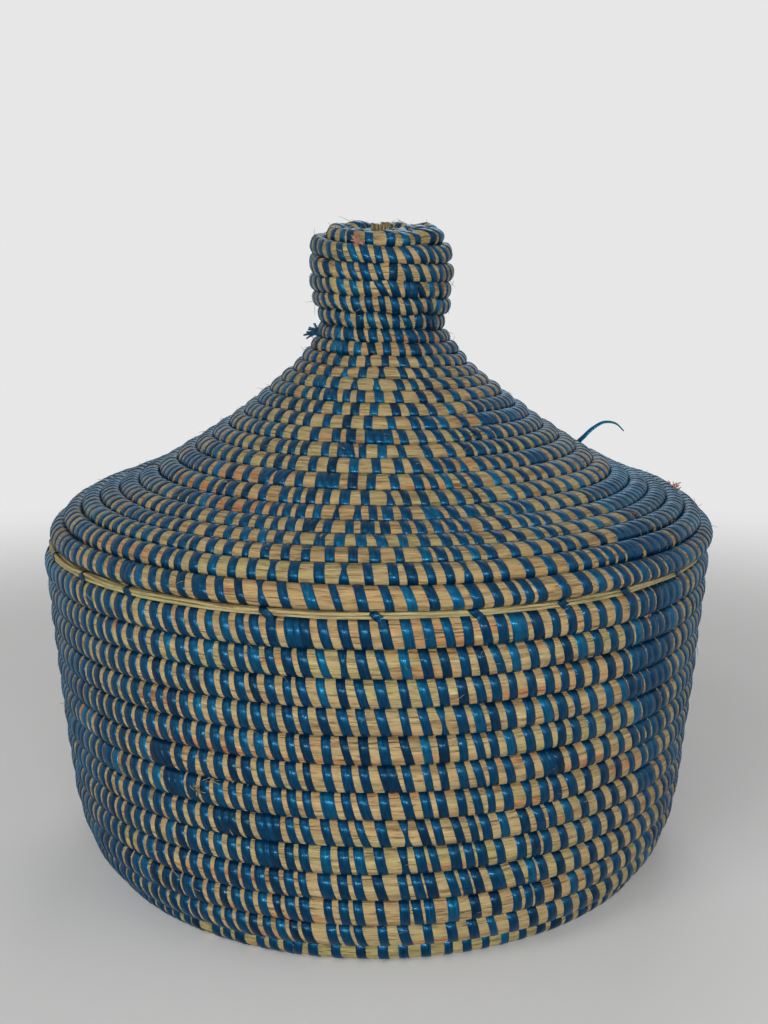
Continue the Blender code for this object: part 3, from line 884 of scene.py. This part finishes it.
def strip_material(name):
    """Crinkled plastic: deep blue, with a broad tinted sheen under a thin clear gloss, and streaks along its
    creases that are partly its own and partly painted shade in the hollows and painted sheen on the ridges.
    """
    material, tree = new_material(name)
    place, tone = rope_coordinates(tree)
    creases = scaled_noise(tree, place, *STRIP_CREASES)
    wear = scaled_noise(tree, place, *STRIP_WEAR)
    colours = (STRIP_DARK, STRIP_MIDDLE, STRIP_MIDDLE, STRIP_BRIGHT)
    colour = ramp(tree, tone, list(zip(TONE_STOPS, colours)))
    # Streaks along the creases: the strip's own, with painted shade in the hollows and painted sheen on the
    # ridges, darkest where the bump is lowest
    colour = mixed(tree, 1, colour, ramp(tree, creases, CREASE_SHADE_AND_SHEEN_TINTS), "MULTIPLY")
    colour = mixed(tree, ramp(tree, wear, WEAR_STOPS), colour, STRIP_BRIGHT)
    shader, bump = surface(tree, colour, creases, STRIP_FINISH, STRIP_GLOSS)
    tree.links.new(bump.outputs["Normal"], shader.inputs["Coat Normal"])
    return material


def shown_to_viewer(tree):
    """1 for rays from the camera, glossy surfaces and clear ones, which see the plain background."""
    rays = add_node(tree, "LightPath")
    seen = rays.outputs["Is Camera Ray"]
    for name in ("Is Glossy Ray", "Is Transmission Ray"):
        seen = add_node(tree, "Math", {0: seen, 1: rays.outputs[name]}, operation="MAXIMUM").outputs[0]
    return seen


# The ropes
def bound_rope(name, body, trace, wraps, first, last, node=None):
    """A length of rope, whose straw replaces a node, and the strip round it."""
    kept = (wraps["turn"] >= first) & (wraps["turn"] < last)
    mine = {key: value[kept] if np.ndim(value) else value for key, value in wraps.items()}
    straw_rope(name + "_straw", trace, mine, first, last, body, node)
    strip_wraps(name + "_binding", trace, mine, body)


def seam_shade_and_stitches(name, trace, body):
    """A dark sheet from each row to the next along the whole seam: the strip that crosses it, and painted
    shade in the seam.
    """
    turns = trace["turn"][trace["turn"] < trace["turn"][-1] - 1][::SEAM_SHEET_STEPS]
    inner, outer = at_turns(trace, "centre", turns), at_turns(trace, "centre", turns + 1)
    thick = (at_turns(trace, "face", turns) + at_turns(trace, "face", turns + 1)) * SEAM_SHEET_THICKNESS / 4
    points = np.stack([inner + thick, inner - thick, outer - thick, outer + thick], 1)
    along, around = at_turns(trace, "along", turns), np.arange(5) * SEAM_SHEET_PATTERN
    # Its dark tone paints the shade in the seams, as well as the strip that crosses them
    sheet = Grid(points, along, around[:-1], round_end=around[-1], tone=STITCH_AND_SHADE_TONE)
    grid_piece(name, [sheet], "strip", body)


def rope_start(name, winding, habits, outward, body, seed):
    """The thin first end of a rope, which fills the middle of its spiral round the knot."""
    turns = np.linspace(-START_TAIL_TURNS, 0, TRACE_STEPS)
    full = winding["widths"][0]
    start = winding["lengths"][0]
    width = full * (1 + (1 - START_TIP_SHARE) * turns / START_TAIL_TURNS)
    radius = start + full / 2 + full * turns - width / 2
    _, height, _ = read_profile(winding["profile"], start)
    trace = framed(turns, radius, height, 0, width, outward, seed)
    bound_rope(name, body, trace, wind_strip(trace, habits, seed + 8), -1, 1)


def build_coils(body, trace, wraps, nodes, end):
    """A rope's nodes, each from its own first turn to the next one's, and the dark sheet of stitches and
    painted shade in the seams of its rows.
    """
    for (node, first), (_, last) in zip(nodes, (*nodes[1:], ("", end))):
        bound_rope(node, body, trace, wraps, first, last, node)
    seam_shade_and_stitches(body + "_seam_shade_and_stitches", trace, body)


def build_body():
    even_width = (BODY_HEIGHT + FOOT_RADIUS) / (BODY_ROWS + 1)
    winding = wind(body_corners, [even_width] * (BODY_ROWS + 1), BASE_KNOT_RADIUS)
    trace = spiral_trace(winding, BODY_ROWS, (0, BASE_TURNS - 1), 1, 5)
    wraps = wind_strip(trace, body_habits, 11)
    nodes = (("base_coil", 0), ("wall_coil", BASE_TURNS), ("rim_coil", BODY_ROWS))
    build_coils("basket", trace, wraps, nodes, BODY_ROWS + 1)
    rope_start("base_start", winding, body_habits, 1, "basket", 5)
    return winding, trace, wraps


def build_lid(seat):
    row_widths = np.interp(np.arange(LID_ROWS + 1), *zip(*LID_ROW_WIDTHS))
    winding = wind(lambda widths: lid_corners(widths, seat), row_widths, KNOB_KNOT_RADIUS)
    trace = spiral_trace(winding, LID_ROWS, (KNOB_ROWS - 1, LID_ROWS - 1), -1, 6)
    wraps = wind_strip(trace, lid_habits, 61)
    knob = (("knob_top_coil", 0), ("knob_coil", KNOB_TOP_TURNS))
    cone = (("lid_cone_coil", KNOB_ROWS), ("lid_edge_coil", LID_ROWS))
    build_coils("lid", trace, wraps, knob + cone, LID_ROWS + 1)
    rope_start("knob_start", winding, lid_habits, -1, "lid", 6)
    return trace


def build_locating_ring(body_winding):
    """Two rows under the cone, just inside the mouth."""
    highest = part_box("lid_locating_coil")[1].z - (RING_ROW_WIDTH - ROW_GAP) / 2
    mouth = WIDEST_RADIUS - 2 * corner_radius(body_winding["widths"][-1])
    turns = np.linspace(0, RING_TURNS - 1 + CLIMB_START_SHARE, RING_TURNS * TRACE_STEPS)
    height = highest - RING_ROW_WIDTH * (np.floor(turns) + climb(turns - np.floor(turns)))
    radius = mouth - LID_PLAY - corner_radius(RING_ROW_WIDTH)
    trace = framed(turns, radius, height, math.pi / 2, RING_ROW_WIDTH, 1, 7)
    wraps = wind_strip(trace, lambda turn: RING_HABITS, 81)
    bound_rope("lid_locating_coil", "lid", trace, wraps, 0, RING_TURNS, "lid_locating_coil")


def band_straw(out, up, bottom, middle, dice):
    """One loose straw, closed round the rim."""
    angles, sides = full_turn(BAND_STEPS), full_turn(BAND_SIDES)
    girth = math.tau * BAND_STRAW_WIDE
    wave, lift = (waves(dice, angles, *BAND_WAVES, whole=True) for _ in range(2))
    path = on_circle(middle + out + BAND_WAVE_OUT * wave, angles, bottom + up + BAND_WAVE_UP * lift)
    outward = on_circle(1, angles, 0 * angles)
    points = path[:, None, :] + BAND_STRAW_WIDE * np.cos(sides)[None, :, None] * outward[:, None, :]
    points[..., 2] -= BAND_STRAW_TALL * np.sin(sides)[None, :]
    start = dice.uniform(0, 5)
    along, around = start + angles * middle, start + sides / math.tau * girth
    ends = (start + math.tau * middle, start + girth)
    return Grid(points, along, around, True, True, *ends, dice.random())


def band_tie(degrees, bottom, middle, trace, wraps, dice):
    """A strip that comes off the nearest wrap of the rim and runs over the band to its inner edge."""
    share = (FRONT + math.radians(degrees) - SEAM_ANGLE) / math.tau % 1
    rim_wraps = np.where(wraps["turn"] > BODY_ROWS - 0.2, wraps["turn"], -1)
    which = int(np.argmin(np.abs(rim_wraps - BODY_ROWS - share)))
    lean = wraps["lean"][which : which + 1]
    lift = np.full((1, len(TIE_START)), STRIP_THICKNESS + STRIP_CROWN + TIE_LIFT)
    path = list(section(trace, wraps["turn"][which : which + 1], np.radians(TIE_START), lift, lean)[0])
    angle = math.atan2(path[-1][1], path[-1][0])
    for sideways, out, height in TIE_STEPS:
        here = angle + sideways / middle
        radius = middle + BAND_WIDTH / 2 + out
        path.append((radius * math.cos(here), radius * math.sin(here), bottom + height * BAND_THICKNESS))
    path = smoothed(path, TIE_POINTS)
    across = np.stack([-path[:, 1], path[:, 0], 0.03 + 0 * path[:, 2]], 1)
    return flat_strip(path, across, dice.uniform(*TIE_WIDTHS), dice.random() * TIE_TONE)


def build_rim_band(bottom, middle, trace, wraps):
    """Loose pale straws along the rim, and the slanting ties that hold them down."""
    dice = default_rng(91)
    straws = [band_straw(out, up, bottom, middle, dice) for out, up in BAND_STRAWS]
    grid_piece("rim_band_straws", straws, "pale_straw", "basket", "rim_straw_band")
    hidden = np.arange(TIE_DEGREES[-1] + TIE_SPACING, TIE_DEGREES[0] + 360 - TIE_SPACING / 2, TIE_SPACING)
    places = (*TIE_DEGREES, *(hidden + dice.normal(0, TIE_SCATTER, len(hidden))))
    ties = [band_tie(degrees, bottom, middle, trace, wraps, dice) for degrees in places]
    grid_piece("rim_band_ties", ties, "strip", "basket")


def smoothed(points, count):
    """Evenly spaced points on a smooth curve through the given ones."""
    points = np.asarray(points, dtype=float)
    runs = run_lengths(points)
    places = np.linspace(0, runs[-1], count)
    segment = np.clip(np.searchsorted(runs, places, side="right") - 1, 0, len(points) - 2)
    slopes = np.gradient(points, runs, axis=0)
    span = (runs[segment + 1] - runs[segment])[:, None]
    share = (places - runs[segment])[:, None] / span
    first, second = points[segment], points[segment + 1]
    rising, falling = slopes[segment] * span, slopes[segment + 1] * span
    square, cube = share**2, share**3
    return (
        (2 * cube - 3 * square + 1) * first
        + (cube - 2 * square + share) * rising
        + (3 * square - 2 * cube) * second
        + (cube - square) * falling
    )


def build_knot(name, node, body):
    """A straw knotted on itself, in three loops, round a core that fills the start of the spiral."""
    low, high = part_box(node)
    centre = (low + high) / 2
    half = (high - low) / 2
    thick = min(half) * KNOT_STRAND_SHARE
    turn = np.linspace(0, math.tau, KNOT_STEPS + 1)
    across, back = np.sin(turn) + 2 * np.sin(2 * turn), np.cos(turn) - 2 * np.cos(2 * turn)
    path = np.stack([across, back, -np.sin(3 * turn)], 1) / (3, 3, 1)
    path = path * (half.x - thick, half.y - thick, half.z - thick) + np.array(centre)
    ends = [(centre.x, centre.y, height) for height in (low.z + thick, high.z - thick)]
    core = np.linspace(*ends, KNOT_CORE_STEPS)
    if body == "lid":
        path, core = as_the_lid_sits(path), as_the_lid_sits(core)
    strands = [tube(path, thick, 0.3, sides=10), tube(core, half.x * KNOT_FILL, 0.7, sides=16)]
    grid_piece(name, strands, "pale_straw", body, node)


def place_on(trace, turn, around):
    """A place in the rope's skin, its outward direction and the rope's own axes there."""
    axes = {key: at_turns(trace, key, np.array([turn]))[0] for key in ("centre", "forward", "face", "rise")}
    half = float(at_turns(trace, "width", turn)) / 2
    out = axes["face"] * math.cos(around) + axes["rise"] * math.sin(around)
    return axes["centre"] + out * (half - ROOT_DEPTH), out, axes


def tuft(trace, dice, flat, turn, around, length, spread, heading, thick):
    """Broken straws that stand out of one place, leaning the way of heading along the rope."""
    root, out, axes = place_on(trace, turn, math.radians(around))
    forward, rise = axes["forward"], axes["rise"]
    strands = []
    for _ in range(TUFT_STRANDS):
        start = root + forward * dice.normal(0, spread) + rise * dice.normal(0, spread)
        way = out * dice.uniform(0.35, 0.9) + forward * (heading + dice.normal(0, TUFT_STRAY))
        way = way + rise * dice.normal(0, TUFT_STRAY)
        bend = rise * dice.normal(0, 0.25)
        shares = np.linspace(-0.15, 1, TUFT_STEPS)[:, None]
        path = start + (way * shares + bend * shares**2) * length * dice.uniform(0.55, 1.0)
        tapered = np.linspace(thick, 0.6 * thick, TUFT_STEPS)
        if flat:
            strands.append(flat_strip(path, np.tile(rise, (TUFT_STEPS, 1)), 2 * tapered, dice.random()))
        else:
            strands.append(tube(path, tapered, dice.random(), sides=5, flat=0.6))
    return strands


def build_tufts(traces):
    dice = default_rng(111)
    for number, (body, material, *shape) in enumerate(TUFTS):
        strands = tuft(traces[body], dice, material == "strip", *shape)
        grid_piece(f"tuft_{number}", strands, material, body)
    path = smoothed(as_the_lid_sits(np.array(CURLED_END)), CURLED_POINTS)
    across = np.tile(CURLED_ACROSS, (CURLED_POINTS, 1))
    curled = [flat_strip(path, across, np.linspace(*CURLED_WIDTHS, CURLED_POINTS), 1.0)]
    grid_piece("curled_strip_end", curled, "strip", "lid")
    stub = []
    for _ in range(STUB_STRANDS):
        angle, reach = dice.uniform(0, math.tau), STUB_REACH * math.sqrt(dice.random())
        foot = np.array([reach * math.cos(angle), reach * math.sin(angle) - STUB_FORWARD, STUB_FOOT])
        sideways, top = dice.normal(0, 0.0004), STUB_TOP + dice.uniform(-0.0016, 0.0004)
        tip = foot * (STUB_SPREAD, STUB_SPREAD, 0) + (sideways, 0, top)
        path = as_the_lid_sits(np.linspace(foot, tip, 5))
        stub.append(tube(path, STUB_STRAND_RADIUS, dice.random()))
    grid_piece("knob_stub", stub, "stub_straw", "lid")


def frayed(trace, seed, longest):
    """Loose ends of straw or of strip that stand off the rope."""
    dice = default_rng(seed)
    strands = []
    for _ in range(FRAY_COUNT):
        turn = dice.uniform(trace["turn"][0], trace["turn"][-1])
        start, out, axes = place_on(trace, turn, dice.uniform(-1.2, 1.2))
        sweep = axes["forward"] * dice.choice([-1, 1]) + axes["rise"] * dice.normal(0, 0.5)
        length = longest * dice.uniform(0.25, 1) ** 2.2
        lift = dice.uniform(0.1, 0.6)
        curl = dice.normal(0, 0.5)
        shares = np.linspace(0, 1, FRAY_STEPS)[:, None]
        bend = axes["rise"] * curl * shares**2 + out * lift * shares
        path = start + (sweep * shares + bend) * length
        path[:, 2] = np.maximum(path[:, 2], TABLE_LEVEL + FRAY_CLEARANCE)
        strands.append(tube(path, np.linspace(*FRAY_RADII, FRAY_STEPS), dice.random(), sides=3))
    return strands


def build_fraying(traces):
    for (body, trace), seed in zip(traces.items(), (101, 103)):
        straws = frayed(trace, seed, FRAY_STRAW_LENGTH)
        strips = frayed(trace, seed + 1, FRAY_STRIP_LENGTH)
        grid_piece(body + "_frayed_straw", straws, "pale_straw", body)
        grid_piece(body + "_frayed_strip", strips, "strip", body)


# Room
def build_stage():
    """A pale floor that fades into the background away from the basket."""
    mesh = bpy.data.meshes.new("floor")
    corners = [(FLOOR_REACH * x, FLOOR_REACH * y, 0) for x, y in ((-1, -1), (1, -1), (1, 1), (-1, 1))]
    mesh.from_pydata(corners, [], [(0, 1, 2, 3)])
    material, tree = new_material("pale_floor")
    paper = add_node(tree, "BsdfDiffuse", {"Color": FLOOR_COLOUR})
    plain = add_node(tree, "Emission", {"Color": BACKGROUND})
    place = add_node(tree, "TexCoord").outputs["Object"]
    away = add_node(tree, "VectorMath", {0: place}, operation="LENGTH").outputs["Value"]
    reach = {"From Min": FADE_START, "From Max": FADE_END, "Value": away}
    fade = add_node(tree, "MapRange", reach, interpolation_type="SMOOTHSTEP").outputs["Result"]
    faded = add_node(tree, "Math", {0: fade, 1: shown_to_viewer(tree)}, operation="MULTIPLY")
    ends = {"Fac": faded.outputs[0], 1: paper.outputs[0], 2: plain.outputs[0]}
    choice = add_node(tree, "MixShader", ends)
    add_node(tree, "OutputMaterial", {"Surface": choice.outputs[0]})
    mesh.materials.append(material)
    floor = placed("floor", mesh)


def build_lights():
    for name, place, wide, tall, power in LAMPS:
        light = bpy.data.lights.new(name, "AREA")
        light.shape = "RECTANGLE"
        light.size, light.size_y = wide, tall
        light.energy = power
        lamp = placed(name, light)
        lamp.location = place
        lamp.rotation_euler = (Vector(LAMP_TARGET) - Vector(place)).to_track_quat("-Z", "Y").to_euler()
    world = bpy.data.worlds.new("pale_room")
    world.use_nodes = True
    tree = world.node_tree
    tree.nodes.clear()
    shown = add_node(tree, "Background", {"Color": BACKGROUND})
    lighting = add_node(tree, "Background", {"Color": WHITE, "Strength": WORLD_LIGHT})
    ends = {"Fac": shown_to_viewer(tree), 1: lighting.outputs[0], 2: shown.outputs[0]}
    choice = add_node(tree, "MixShader", ends)
    add_node(tree, "OutputWorld", {"Surface": choice.outputs[0]})
    bpy.context.scene.world = world
    bpy.context.scene.view_settings.view_transform = "Standard"


def build_camera():
    lens = bpy.data.cameras.new("camera")
    lens.sensor_fit = "VERTICAL"
    lens.sensor_width = lens.sensor_height = SENSOR
    lens.lens = FOCAL_PIXELS / PICTURE_HEIGHT * SENSOR
    camera = placed("camera", lens)
    camera.location = (CAMERA_SIDE, -CAMERA_DISTANCE, CAMERA_HEIGHT)
    camera.rotation_euler = (math.pi / 2 - CAMERA_PITCH, 0, 0)
    bpy.context.scene.camera = camera


MATERIALS = {name: straw_material(name, *looks) for name, looks in STRAWS.items()}
MATERIALS["strip"] = strip_material("blue_strip")


def main():
    build_camera()
    winding, body_trace, body_wraps = build_body()
    rim_radius, rim_height, rim_slope = read_profile(winding["profile"], winding["lengths"][-1])
    rim_reach = section_reach(corner_radius(winding["widths"][-1]), rim_slope, math.pi / 2)
    band_bottom = rim_height + rim_reach + SEAT_GAP
    lid_trace = build_lid(band_bottom + BAND_THICKNESS + SEAT_GAP)
    build_locating_ring(winding)
    build_rim_band(band_bottom, rim_radius, body_trace, body_wraps)
    build_knot("base_knot", "base_start_knot", "basket")
    build_knot("knob_knot", "knob_start_knot", "lid")
    traces = {"basket": body_trace, "lid": lid_trace}
    build_tufts(traces)
    build_fraying(traces)
    build_stage()
    build_lights()


main()
